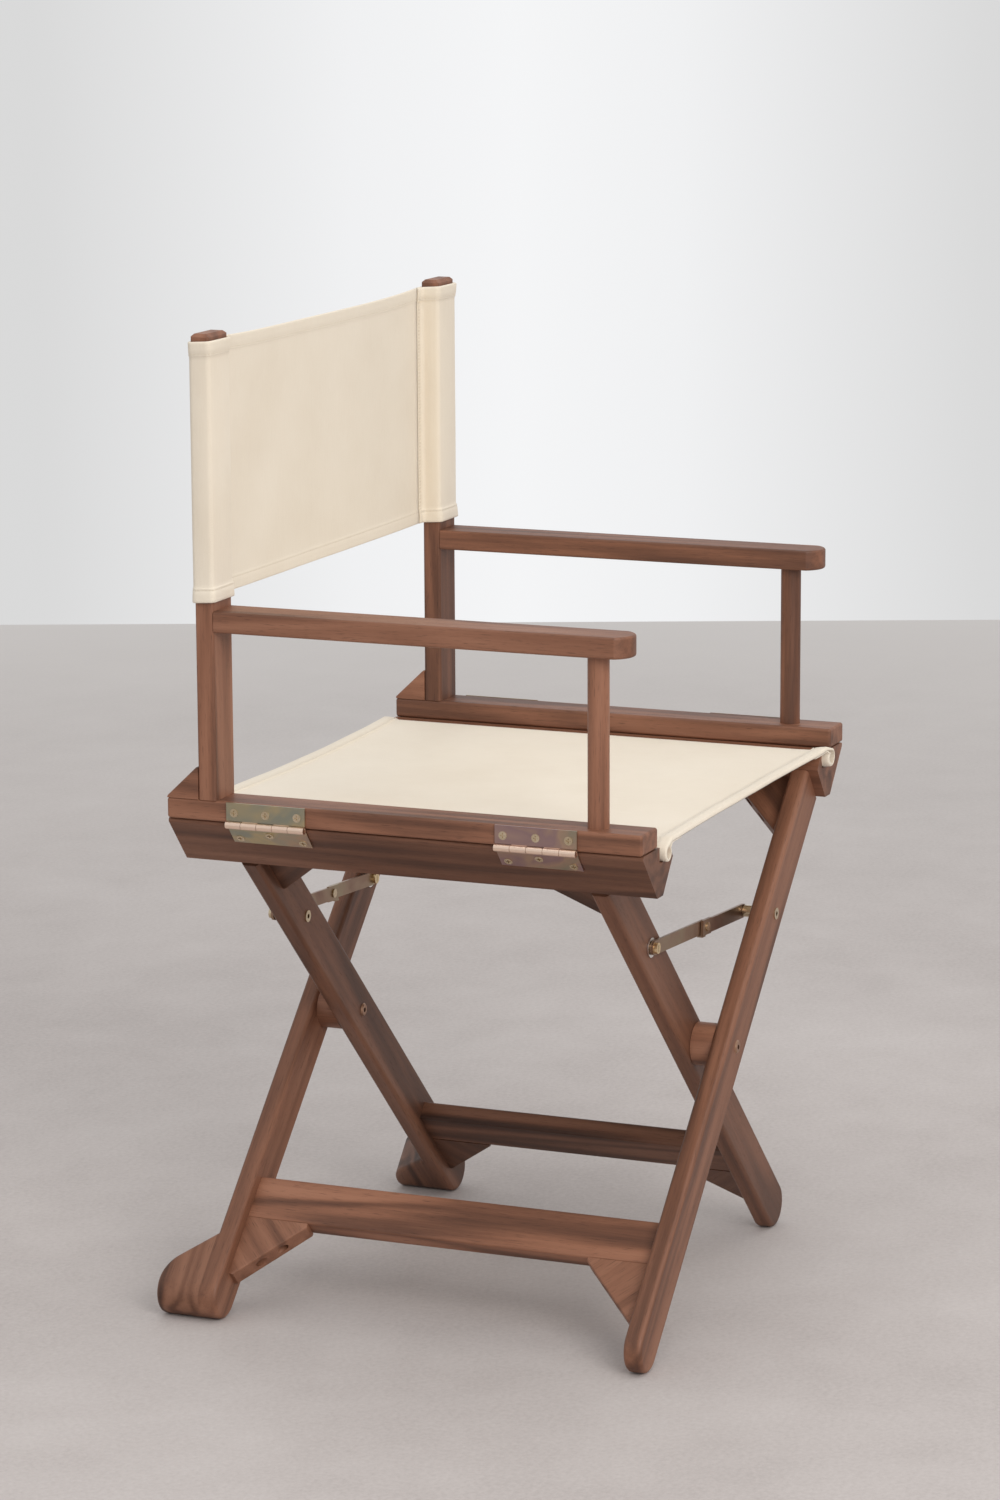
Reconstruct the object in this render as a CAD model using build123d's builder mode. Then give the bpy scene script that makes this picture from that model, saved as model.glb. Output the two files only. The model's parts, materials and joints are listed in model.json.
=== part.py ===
from build123d import *
import os
from math import sin, cos, atan2, hypot

os.makedirs("parts", exist_ok=True)

# ---- driving sizes (mm), chair open ----
width = 545.0                   # over the outer faces of the two arm units
rail_length = 450.0             # base rails and seat rails, front to back
seat_z = 476.0                  # underside of the base rails
pivot_z = 240.5                 # height of the crossing bolts
base_w, base_t = 39.0, 18.5     # base rail; posts and armrests are as wide
post_t, post_inset, post_h = 17.5, 31.0, 412.5      # inset of its rear face from the rail's end
block_h, block_lip, block_short = 29.0, 2.0, 0.5    # small block behind the post
arm_rise, arm_t, arm_short, arm_nose = 150.5, 19.0, 14.0, 12.0
dowel_r, dowel_inset, dowel_seat = 9.5, 47.0, 8.0
leg_w, leg_t, leg_round = 44.0, 17.5, 4.0
leg_inset = 9.5                 # outer frame's legs, in from the rails' ends
landing = 0.59                  # share of the rail's inner slant where the leg's centre meets it
spacer_t, spacer_r = 21.5, 20.0
stretcher_w, stretcher_t, stretcher_up = 43.5, 18.5, 121.5
gusset, tip = 60.0, 4.0
foot_depth, foot_h = 43.0, 52.5
foot_slope, foot_bow, foot_back = (30.0, 26.0), (39.5, 38.0), 54.0      # outline behind the leg
rail_h, rail_foot = 44.0, 38.0  # seat rail; its outer face slants in by rail_foot
lip_u, lip_drop, foot_u = 76.0, 14.0, 52.0          # its inner slant, from top to foot
slot_a, slot_b, slot_depth, lip_w = 43.0, 63.0, 14.0, 4.0
seat_dowel_r = 5.0
cloth_t, cloth_gap = 1.2, 0.4
canvas_proud, canvas_behind = 4.0, 2.0                  # seat canvas past the rails' ends
canvas_over_arm, canvas_under_top = 7.0, 7.0
hinge_inset, hinge_l, leaf_t, lower_leaf = 97.0, 76.0, 1.6, 25.0
knuckle_r, pin_r, axis_out, axis_drop = 3.3, 1.6, 2.6, 1.4
screw_r, head_r, head_up = 1.9, 3.8, 0.5
cross_w, cross_l, cross_d = 0.9, 4.4, 1.2               # cross cut in a screw's head
hole_side, hole_up, hole_low, hole_mid = 30.4, 9.5, 19.0, 12.0      # places in the leaves
leaf_screw, rail_screw, gusset_screw, spare = 15.0, 11.0, 24.0, 1.0
bore_r, bore_gap, gusset_head_t = 4.2, 0.3, 2.4         # counterbores in the gussets
bolt_r, bolt_head_r, bolt_head_t = 4.0, 6.5, 1.4
socket_r, socket_d = 2.2, 3.0                           # driving hole in a bolt's head
stay_outer, stay_inner = 147.0, 170.0                   # crossing bolt to the stay's bolt on each leg
short_bar, stay_bolt_r, rivet_r = 100.0, 3.0, 2.5       # short_bar: outer leg's bolt to the rivet
stand_off, nut_t, slot_head_t = 14.0, 2.6, 3.4
boss_r, tube_r, washer_r, washer_t = 5.0, 5.5, 9.0, 1.2
rivet_head_r, rivet_head_t = 4.2, 1.4
bar_h, bar_t, plate_l, stop_l, stop_t = 13.0, 2.5, 22.0, 8.0, 1.6
gap = 0.4                       # between pieces that move on each other
fit = 0.08                      # radial running clearance on pins
edge, soft = 2.5, 1.5           # rounded arrises
arm_edge, gusset_edge, cap_edge = 2.2, 2.0, 3.0
near = 0.01                     # tolerance when edges are picked out

half, end_y = width / 2, rail_length / 2
rail_top = seat_z - gap
deck = seat_z + base_t
post_y, post_top = end_y - post_inset - post_t, deck + post_h
arm_z, arm_front = deck + arm_rise, arm_short - end_y
dowel_y, hinge_y = dowel_inset - end_y, end_y - hinge_inset
outer_y = end_y - leg_inset
inner_y = outer_y - leg_t - spacer_t
land_x = half - lip_u + (lip_u - foot_u) * landing
land_z = rail_top - lip_drop - (rail_h - lip_drop) * landing
lean = atan2(land_x, land_z - pivot_z)              # of a leg, from upright
rail_edge = hypot(land_x, land_z - pivot_z)         # crossing to rail, along the leg
foot_end = (leg_w / 2 - pivot_z) / cos(lean)        # crossing to the foot's round
stretcher_top, foot_top = foot_end + stretcher_up, foot_end + foot_h
beyond = 2 * leg_w
canvas_low, canvas_high = arm_z + arm_t + canvas_over_arm, post_top - canvas_under_top
canvas_y = end_y + canvas_proud
mid_y = (outer_y + foot_depth - canvas_y) / 2       # middle of the whole, front to back
C, MIN, MAX = Align.CENTER, Align.MIN, Align.MAX
SIDE = {"outer": 1, "left": 1, "inner": -1, "right": -1}
STAY_AT = {"outer": stay_outer, "inner": stay_inner}


def keep(name, built):
    """Label a finished piece and write it out."""
    placed = built.part.moved(Location((0, -mid_y, 0)))
    placed.label = name
    export_step(placed, f"parts/{name}.step")


def across(y):
    """Upright plane facing the front, at this depth."""
    return Plane(origin=(0, y, 0), x_dir=(1, 0, 0), z_dir=(0, -1, 0))


def leg_plane(s, y):
    """Plane facing the front whose x runs up a leg from the crossing point."""
    return Plane(origin=(0, y, pivot_z), x_dir=(s * sin(lean), 0, cos(lean)), z_dir=(0, -1, 0))


def board_plane(s, n):
    """Plane in the leg frame: x runs to the back, y runs down the leg."""
    facing = Vector(-cos(lean), 0, s * sin(lean))
    return Plane(origin=Vector(0, 0, pivot_z) + facing * n, x_dir=(0, 1, 0), z_dir=facing)


def along_leg(s, d, y):
    return Vector(s * sin(lean) * d, y, pivot_z + cos(lean) * d)


def rail_corner(s, u, drop):
    return (s * (half - u), rail_top - drop)


def below_rail(s):
    """Everything on the leg side of the seat rail's slanted inner face."""
    a, b = rail_corner(s, lip_u, lip_drop), rail_corner(s, foot_u, rail_h)
    dx, dz = 3 * (b[0] - a[0]), 3 * (b[1] - a[1])
    top, low = (a[0] - dx, a[1] - dz), (b[0] + dx, b[1] + dz)
    with BuildPart() as region:
        with BuildSketch(across(rail_length)):
            with BuildLine():
                Polyline(top, low, (low[0], -leg_w), (-s * width, -leg_w), (-s * width, top[1]),
                         close=True)
            make_face()
        extrude(amount=2 * rail_length)
    return region.part


def screw_spots(s, y_leg, turn, d_edge):
    """Two head seats per gusset: one driven into the leg, one into the board or rail."""
    deep, shallow = gusset * 2 / 3, gusset / 6
    into_leg = Plane(origin=along_leg(s, d_edge - deep, y_leg - turn * shallow), z_dir=(0, -turn, 0))
    into_board = Plane(origin=along_leg(s, d_edge - shallow, y_leg - turn * deep),
                       z_dir=(-s * sin(lean), 0, -cos(lean)))
    return [into_leg, into_board]


def frame_spots(s, face):
    """All the gusset screw seats of one leg frame."""
    spots = []
    for turn in (-1, 1):
        for edge_d in (stretcher_top - stretcher_w, rail_edge):
            spots += screw_spots(s, turn * (face - leg_t), turn, edge_d)
    return spots


# ---- seat rails: the slotted lengths the canvas is hemmed into ----
def rail_holes(s):
    """Seats of the screws in the two lower hinge leaves, at the leaf's outer face."""
    spots = []
    for y in (-hinge_y, hinge_y):
        for u, v in ((-hole_side, hole_low), (0, hole_mid), (hole_side, hole_low)):
            p = lower_face(s, y).offset(leaf_t)
            spots.append(p.shift_origin(p.from_local_coords((s * u, -v, 0))))
    return spots


def lower_face(s, y):
    """Slanted outer face of a seat rail, origin at its top corner."""
    a, b = rail_corner(s, 0, 0), rail_corner(s, rail_foot, rail_h)
    down = Vector(b[0] - a[0], 0, b[1] - a[1]).normalized()
    out = Vector(-down.Z * s, 0, down.X * s)
    return Plane(origin=(a[0], y, a[1]), x_dir=(0, s, 0), z_dir=out)


def upper_face(s, y):
    """Outer face of a base rail, origin at its lower edge."""
    return Plane(origin=(s * half, y, seat_z), x_dir=(0, s, 0), z_dir=(s, 0, 0))


def base_holes(s):
    """Seats of the screws in the two upper hinge leaves."""
    spots = []
    for y in (-hinge_y, hinge_y):
        for u in (-hole_side, 0, hole_side):
            p = upper_face(s, y).offset(leaf_t)
            spots.append(p.shift_origin(p.from_local_coords((u, hole_up, 0))))
    return spots


def leaf_screws(spots, length):
    """Countersunk crosshead screws at these seats."""
    with BuildPart() as made:
        with Locations(*spots):
            Cone(screw_r, head_r, leaf_t, align=(C, C, MAX))
            Cylinder(screw_r, length, align=(C, C, MAX))
            Cylinder(head_r, head_up, align=(C, C, MIN))
            Box(cross_l, cross_w, cross_d, mode=Mode.SUBTRACT)
            Box(cross_w, cross_l, cross_d, mode=Mode.SUBTRACT)
    return made.part


for side in ("outer", "inner"):
    s = SIDE[side]
    with BuildPart() as rail:
        with BuildSketch(across(end_y)):
            with BuildLine():
                Polyline([rail_corner(s, u, drop) for u, drop in (
                    (0, 0), (slot_a, 0), (slot_a, slot_depth), (slot_b, slot_depth), (slot_b, 0),
                    (slot_b + lip_w, 0), (lip_u, lip_drop), (foot_u, rail_h),
                    (rail_foot, rail_h))], close=True)
            make_face()
        extrude(amount=rail_length)
        long_edges = rail.edges().filter_by(Axis.Y)
        fillet(long_edges.sort_by(lambda e: abs(e.center().X))[-1:], edge)
        fillet([e for e in rail.edges().filter_by(Axis.Y)
                if abs(abs(e.center().X) - (half - slot_b - lip_w)) < near], soft)
        face = outer_y if side == "outer" else inner_y
        into_rail = [p for p in frame_spots(s, face) if p.z_dir.Z < -0.5 and p.origin.Z > pivot_z]
        with Locations(*rail_holes(s)):
            Cylinder(screw_r, rail_screw + spare / 2, align=(C, C, MAX), mode=Mode.SUBTRACT)
        with Locations(*into_rail):
            Cylinder(screw_r, gusset_screw, align=(C, C, MAX), mode=Mode.SUBTRACT)
    keep(f"{side}_seat_rail", rail)


# ---- legs, with the foot block glued behind each rear leg ----
def leg_outline(s, y_back, depth):
    """Leg shape, round at the floor, running from y_back forward by depth."""
    low, high, r = foot_end, rail_edge + beyond, leg_w / 2
    with BuildPart() as blank:
        with BuildSketch(leg_plane(s, y_back)):
            with BuildLine():
                Polyline((low, r), (high, r), (high, -r), (low, -r))
                ThreePointArc((low, -r), (low - r, 0), (low, r))
            make_face()
        extrude(amount=depth)
    return blank.part


for side in ("outer", "inner"):
    s = SIDE[side]
    face = outer_y if side == "outer" else inner_y
    own = 0.0 if side == "outer" else fit
    spots = frame_spots(s, face)
    for end, turn in (("front", -1), ("rear", 1)):
        # The stay bolt passes through the outer front leg and the inner rear leg.
        through = (end == "front") == (side == "outer")
        back = -face + leg_t if end == "front" else face + foot_depth
        with BuildPart() as leg:
            add(leg_outline(s, back, leg_t if end == "front" else leg_t + foot_depth))
            if end == "rear":
                # Leg and block in one outline seen square to the frame, sloping behind the leg.
                down, up, bend = beyond - foot_end, -beyond - rail_edge, -foot_top
                slope_end = (face + foot_slope[0], bend + foot_slope[1])
                back_top = (face + foot_depth, bend + foot_back)
                with BuildSketch(board_plane(s, -leg_w)):
                    with BuildLine():
                        Polyline((face + foot_depth, down), (face - leg_t, down), (face - leg_t, up),
                                 (face, up), (face, bend), slope_end)
                        ThreePointArc(slope_end, (face + foot_bow[0], bend + foot_bow[1]), back_top)
                        Line(back_top, (face + foot_depth, down))
                    make_face()
                extrude(amount=2 * leg_w, mode=Mode.INTERSECT)
            add(below_rail(s), mode=Mode.INTERSECT)
            joint_line = leg.edges().filter_by(
                lambda e: along_leg(s, 0, 0).Z < e.center().Z
                and abs((e.center() - along_leg(s, 0, e.center().Y)).dot(
                    Vector(s * sin(lean), 0, cos(lean)))) > rail_edge - leg_w / 2)
            inner_bend = leg.edges().filter_by(
                lambda e: abs(e.center().Y - face) < near and abs(e.length - leg_w) < 1
                and e.center().Z < pivot_z)
            rounded = [e for e in leg.edges() if e not in joint_line and e not in inner_bend]
            fillet(rounded, leg_round)
            with Locations(Plane(origin=along_leg(s, 0, 0), z_dir=(0, -1, 0))):
                Cylinder(bolt_r + own, 2 * rail_length, mode=Mode.SUBTRACT)
            if through:
                with Locations(Plane(origin=along_leg(s, STAY_AT[side], 0), z_dir=(0, -1, 0))):
                    Cylinder(stay_bolt_r, 2 * rail_length, mode=Mode.SUBTRACT)
            with Locations(*[p for p in spots if abs(p.z_dir.Y) > 0.5]):
                Cylinder(screw_r, gusset_screw + spare, align=(C, C, MAX), mode=Mode.SUBTRACT)
        if end == "front":
            keep(f"{side}_leg_front", leg)
            continue
        with BuildPart() as rear_leg:
            add(leg.part)
            split(bisect_by=Plane(origin=(0, face, 0), z_dir=(0, 1, 0)), keep=Keep.BOTTOM)
        keep(f"{side}_leg_rear", rear_leg)
        with BuildPart() as foot_block:
            add(leg.part)
            split(bisect_by=Plane(origin=(0, face, 0), z_dir=(0, 1, 0)), keep=Keep.TOP)
        keep(f"{side}_foot_block", foot_block)

    # ---- stretcher board between the two legs of a frame ----
    with BuildPart() as stretcher:
        with BuildSketch(board_plane(s, -stretcher_t / 2)):
            with Locations((0, -stretcher_top)):
                Rectangle(2 * (face - leg_t), stretcher_w, align=(C, MIN))
        extrude(amount=stretcher_t)
        fillet(stretcher.edges().filter_by(Axis.Y), edge)
        with Locations(*[p for p in spots if abs(p.z_dir.Y) < 0.5 and p.origin.Z < pivot_z]):
            Cylinder(screw_r, gusset_screw + spare, align=(C, C, MAX), mode=Mode.SUBTRACT)
    keep(f"{side}_stretcher", stretcher)

    # ---- corner gussets, each with two counterbored screws in its sloping edge ----
    for where, d0, way in (("stretcher", stretcher_top - stretcher_w, 1), ("rail", rail_edge, -1)):
        for end, turn in (("front", -1), ("rear", 1)):
            y0 = turn * (face - leg_t)
            with BuildPart() as block:
                with BuildSketch(board_plane(s, -stretcher_t / 2)):
                    flat = -d0 if way == 1 else -d0 - leg_w / 2
                    with BuildLine():
                        Polyline((y0, flat), (y0 - turn * gusset, flat),
                                 (y0 - turn * gusset, -d0 + tip),
                                 (y0 - turn * tip, -d0 + gusset),
                                 (y0, -d0 + gusset), close=True)
                    make_face()
                extrude(amount=stretcher_t)
                if way == -1:
                    add(below_rail(s), mode=Mode.INTERSECT)
                slope = [f for f in block.faces() if 0.3 < abs(f.normal_at().Y) < 0.95]
                fillet(slope[0].edges().sort_by(SortBy.LENGTH)[-2:], gusset_edge)
                for p in screw_spots(s, y0, turn, d0):
                    with Locations(p):
                        Cylinder(bore_r, gusset, align=(C, C, MIN), mode=Mode.SUBTRACT)
                        Cylinder(screw_r, gusset / 2, align=(C, C, MAX), mode=Mode.SUBTRACT)
            keep(f"{side}_{where}_gusset_{end}", block)

    # ---- gusset screws and lower hinge screws of this frame ----
    with BuildPart() as screws:
        with Locations(*spots):
            Cylinder(bore_r - bore_gap, gusset_head_t, align=(C, C, MIN))
            Cylinder(screw_r, gusset_screw, align=(C, C, MAX))
        add(leaf_screws(rail_holes(s), rail_screw))
    keep(f"{side}_frame_screws", screws)


# ---- arm units: base rail, back post, block, armrest, dowel ----
for side in ("left", "right"):
    s = SIDE[side]
    mid_x = s * (half - base_w / 2)
    with BuildPart() as base:
        with Locations((mid_x, 0, seat_z)):
            Box(base_w, rail_length, base_t, align=(C, C, MIN))
        fillet(base.edges(), edge)
        with Locations(*base_holes(s)):
            Cylinder(screw_r, leaf_screw + spare, align=(C, C, MAX), mode=Mode.SUBTRACT)
        with Locations((mid_x, dowel_y, deck)):
            Cylinder(dowel_r, dowel_seat, align=(C, C, MAX), mode=Mode.SUBTRACT)
    keep(f"{side}_base_rail", base)

    with BuildPart() as post:
        with Locations((mid_x, post_y, deck)):
            Box(base_w, post_t, post_h, align=(C, MIN, MIN))
        chamfer(post.faces().sort_by(Axis.Z)[-1].edges(), cap_edge)
        fillet(post.edges().filter_by(Axis.Z), edge)
    keep(f"{side}_post", post)

    with BuildPart() as block:
        side_face = Plane(origin=(mid_x - s * base_w / 2, 0, 0), x_dir=(0, s, 0), z_dir=(s, 0, 0))
        back, out = post_y + post_t, end_y - block_short
        with BuildSketch(side_face):
            with BuildLine():
                Polyline([(s * y, z) for y, z in (
                    (back, deck), (out, deck), (out, deck + block_lip),
                    (back + block_lip, deck + block_h), (back, deck + block_h))], close=True)
            make_face()
        extrude(amount=base_w)
        slope = [f for f in block.faces() if 0.3 < f.normal_at().Z < 0.95]
        fillet(slope[0].edges().sort_by(SortBy.LENGTH)[-2:], soft)
    keep(f"{side}_post_block", block)

    with BuildPart() as arm:
        with BuildSketch(Plane.XY.offset(arm_z)):
            flat = arm_front + arm_nose
            with BuildLine():
                Polyline((mid_x - base_w / 2, flat), (mid_x - base_w / 2, post_y),
                         (mid_x + base_w / 2, post_y), (mid_x + base_w / 2, flat))
                ThreePointArc((mid_x + base_w / 2, flat), (mid_x, arm_front),
                              (mid_x - base_w / 2, flat))
            make_face()
        extrude(amount=arm_t)
        fillet([e for e in arm.edges() if e.center().Y < post_y - 1], arm_edge)
        with Locations((mid_x, dowel_y, arm_z)):
            Cylinder(dowel_r, dowel_seat, align=(C, C, MIN), mode=Mode.SUBTRACT)
    keep(f"{side}_armrest", arm)

    with BuildPart() as arm_dowel:
        with Locations((mid_x, dowel_y, deck - dowel_seat)):
            Cylinder(dowel_r, arm_rise + 2 * dowel_seat, align=(C, C, MIN))
    keep(f"{side}_arm_dowel", arm_dowel)

    with BuildPart() as screws:
        add(leaf_screws(base_holes(s), leaf_screw))
    keep(f"{side}_hinge_screws", screws)


# ---- butt hinges: five knuckles, three on the seat rail leaf and two on the base leaf ----
axis_z, knuckle = seat_z - axis_drop, hinge_l / 5
lap = leaf_t * 3 / 4        # leaf metal that runs into the barrel

for side, frame in (("left", "outer"), ("right", "inner")):
    s = SIDE[side]
    axis_x = s * (half + axis_out)
    lie = Rotation(90, 0, 0)
    for end, y in (("front", -hinge_y), ("rear", hinge_y)):
        for leaf_name, turns, plane, screws in (
                (f"{side}_hinge_leaf_{end}", (1, 3), upper_face(s, y), base_holes(s)),
                (f"{frame}_hinge_leaf_{end}", (0, 2, 4), lower_face(s, y), rail_holes(s))):
            mine = [y - hinge_l / 2 + knuckle * (k + 0.5) for k in turns]
            other = [y - hinge_l / 2 + knuckle * (k + 0.5) for k in range(5) if k not in turns]
            upper = len(turns) == 2
            with BuildPart() as leaf:
                with BuildSketch(plane):
                    top, down = (base_t, base_t) if upper else (lap, lower_leaf)
                    with Locations((0, top)):
                        Rectangle(hinge_l, down + lap, align=(C, MAX))
                extrude(amount=leaf_t)
                with Locations(*[Pos(axis_x, k, axis_z) * lie for k in mine]):
                    Cylinder(knuckle_r, knuckle - gap)
                with Locations(*[Pos(axis_x, k, axis_z) * lie for k in other]):
                    Cylinder(knuckle_r + gap, knuckle + gap, mode=Mode.SUBTRACT)
                with Locations(Pos(axis_x, y, axis_z) * lie):
                    Cylinder(pin_r if upper else pin_r + fit, 2 * hinge_l, mode=Mode.SUBTRACT)
                with Locations(*screws):
                    Cone(screw_r, head_r, leaf_t, align=(C, C, MAX), mode=Mode.SUBTRACT)
            keep(leaf_name, leaf)
    with BuildPart() as pins:
        for y in (-hinge_y, hinge_y):
            with Locations(Pos(axis_x, y, axis_z) * lie):
                Cylinder(pin_r, hinge_l - gap)
    keep(f"{side}_hinge_pins", pins)


# ---- crossing bolts and wooden spacers ----
for end, turn in (("front", -1), ("rear", 1)):
    with BuildPart() as spacer:
        with Locations(Plane(origin=(0, turn * (outer_y - leg_t), pivot_z), z_dir=(0, -turn, 0))):
            Cylinder(spacer_r, spacer_t - gap, align=(C, C, MIN))
            Cylinder(bolt_r, 3 * spacer_t, mode=Mode.SUBTRACT)
    keep(f"pivot_spacer_{end}", spacer)
    with BuildPart() as bolt:
        face_out = Plane(origin=(0, turn * outer_y, pivot_z), z_dir=(0, turn, 0))
        face_in = Plane(origin=(0, turn * (inner_y - leg_t - gap), pivot_z), z_dir=(0, -turn, 0))
        with Locations(face_out):
            Cylinder(bolt_r, outer_y - inner_y + leg_t + gap, align=(C, C, MAX))
        with Locations(face_out, face_in):
            Cone(bolt_head_r, boss_r, bolt_head_t, align=(C, C, MIN))
            Cylinder(socket_r, socket_d, mode=Mode.SUBTRACT)
    keep(f"pivot_bolt_{end}", bolt)


# ---- folding stays: a short bar from the outer leg riveted to a long one from the inner ----
outer_hole, inner_hole = along_leg(1, stay_outer, 0), along_leg(-1, stay_inner, 0)
bar_way = (outer_hole - inner_hole).normalized()
rivet_at = outer_hole - bar_way * short_bar
long_bar = (rivet_at - inner_hole).length


def stay_plane(centre, y, facing=-1):
    """Plane square to the stay's pins at this depth, x along the bars to the outer leg."""
    return Plane(origin=(centre.X, y, centre.Z), x_dir=bar_way, z_dir=(0, facing, 0))


def bar(y, reach):
    """Flat bar with round ends, from the rivet as far as this along the stay."""
    with BuildPart() as made:
        with BuildSketch(stay_plane(rivet_at, y + bar_t)):
            with Locations((reach / 2, 0)):
                SlotCenterToCenter(abs(reach), bar_h)
        extrude(amount=bar_t)
    return made.part


for end in ("front", "rear"):
    # Measured from the outer face of the through-bolted leg toward the other leg.
    if end == "front":
        start, bolted, free = leg_t - outer_y, outer_hole, inner_hole
        bolted_reach, free_reach = short_bar, -long_bar
    else:
        start, bolted, free = inner_y, inner_hole, outer_hole
        bolted_reach, free_reach = -long_bar, short_bar
    first, second = start + stand_off, start + stand_off + bar_t + gap
    with BuildPart() as through_bolt:
        with Locations(stay_plane(bolted, start - leg_t)):
            Cylinder(tube_r, washer_t, align=(C, C, MIN))
            Cylinder(stay_bolt_r, leg_t + stand_off + bar_t + gap + nut_t, align=(C, C, MAX))
            Cylinder(socket_r, 2 * socket_d, mode=Mode.SUBTRACT)
        with Locations(stay_plane(bolted, start, 1)):
            Cylinder(tube_r, stand_off - gap, align=(C, C, MIN))
        with Locations(stay_plane(bolted, first + bar_t + gap, 1)):
            Cylinder(boss_r, nut_t, align=(C, C, MIN))
    keep(f"stay_bolt_{end}", through_bolt)

    with BuildPart() as bolted_bar:
        add(bar(first, bolted_reach))
        with BuildSketch(stay_plane(rivet_at, first + bar_t)):
            Rectangle(plate_l, bar_h + stop_t)
        extrude(amount=bar_t)
        with BuildSketch(stay_plane(rivet_at, first + 2 * bar_t + gap)):
            with Locations((stop_l if free_reach > 0 else -stop_l, -bar_h / 2 - gap)):
                Rectangle(stop_l, stop_t, align=(C, MAX))
        extrude(amount=2 * bar_t + gap)
        with Locations(stay_plane(bolted, first)):
            Cylinder(stay_bolt_r + fit, spacer_t, mode=Mode.SUBTRACT)
        with Locations(stay_plane(rivet_at, first)):
            Cylinder(rivet_r, spacer_t, mode=Mode.SUBTRACT)
    keep(f"{end}_stay_bar_bolted", bolted_bar)

    with BuildPart() as free_bar:
        add(bar(second, free_reach))
        with Locations(stay_plane(rivet_at, first)):
            Cylinder(rivet_r + fit, spacer_t, mode=Mode.SUBTRACT)
        with Locations(stay_plane(free, first)):
            Cylinder(stay_bolt_r, spacer_t, mode=Mode.SUBTRACT)
    keep(f"{end}_stay_bar_free", free_bar)

    with BuildPart() as rivet:
        with Locations(stay_plane(rivet_at, first)):
            Cylinder(rivet_head_r, rivet_head_t, align=(C, C, MIN))
            Cylinder(rivet_r, 2 * bar_t + 2 * gap, align=(C, C, MAX))
        with Locations(stay_plane(rivet_at, second + bar_t + gap, 1)):
            Cylinder(rivet_head_r, rivet_head_t, align=(C, C, MIN))
    keep(f"{end}_stay_rivet", rivet)

    with BuildPart() as end_bolt:
        with Locations(stay_plane(free, second)):
            Cylinder(boss_r, slot_head_t, align=(C, C, MIN))
            Box(cross_w, 2 * stay_bolt_r, 2 * slot_head_t, mode=Mode.SUBTRACT)
            Cylinder(stay_bolt_r, bar_t, align=(C, C, MAX))
        with Locations(stay_plane(free, second + bar_t, 1)):
            room = spacer_t - (second + bar_t - start) - gap
            Cylinder(boss_r, room, align=(C, C, MIN))
        with Locations(stay_plane(free, start + spacer_t - gap)):
            Cylinder(washer_r, washer_t, align=(C, C, MIN))
    keep(f"{end}_stay_end_bolt", end_bolt)


# ---- dowels and canvas of the seat ----
roll_x = half - slot_b + gap + seat_dowel_r + cloth_gap + cloth_t
roll_z = rail_top - slot_depth + gap + seat_dowel_r + cloth_gap + cloth_t
for side in ("outer", "inner"):
    with BuildPart() as seat_dowel:
        with Locations(Plane(origin=(SIDE[side] * roll_x, 0, roll_z), z_dir=(0, 1, 0))):
            Cylinder(seat_dowel_r, rail_length)
    keep(f"{side}_seat_dowel", seat_dowel)

with BuildPart() as seat_canvas:
    with BuildSketch(across(end_y + canvas_behind)):
        outside = seat_dowel_r + cloth_gap + cloth_t
        with Locations((roll_x, roll_z), (-roll_x, roll_z)):
            Circle(outside)
        with Locations((0, rail_top + gap)):
            Rectangle(2 * (roll_x - outside + cloth_t), cloth_t, align=(C, MIN))
        for s in (1, -1):
            with Locations((s * (roll_x - outside + cloth_t / 2), roll_z)):
                Rectangle(cloth_t, rail_top + gap - roll_z, align=(C, MIN))
        with Locations((roll_x, roll_z), (-roll_x, roll_z)):
            Circle(outside - cloth_t, mode=Mode.SUBTRACT)
    extrude(amount=rail_length + canvas_proud + canvas_behind)
keep("seat_canvas", seat_canvas)


# ---- back canvas: a panel with a sleeve round each post ----
with BuildPart() as back_canvas:
    loose = cloth_gap + cloth_t
    post_centres = [(s * (half - base_w / 2), post_y + post_t / 2) for s in (1, -1)]
    with BuildSketch(Plane.XY.offset(canvas_low)):
        with Locations(*post_centres):
            RectangleRounded(base_w + 2 * loose, post_t + 2 * loose, edge + loose)
        with Locations((0, post_y + post_t + cloth_gap)):
            Rectangle(width - base_w, cloth_t, align=(C, MIN))
        with Locations(*post_centres):
            RectangleRounded(base_w + 2 * cloth_gap, post_t + 2 * cloth_gap, edge + cloth_gap,
                             mode=Mode.SUBTRACT)
    extrude(amount=canvas_high - canvas_low)
keep("back_canvas", back_canvas)
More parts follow.
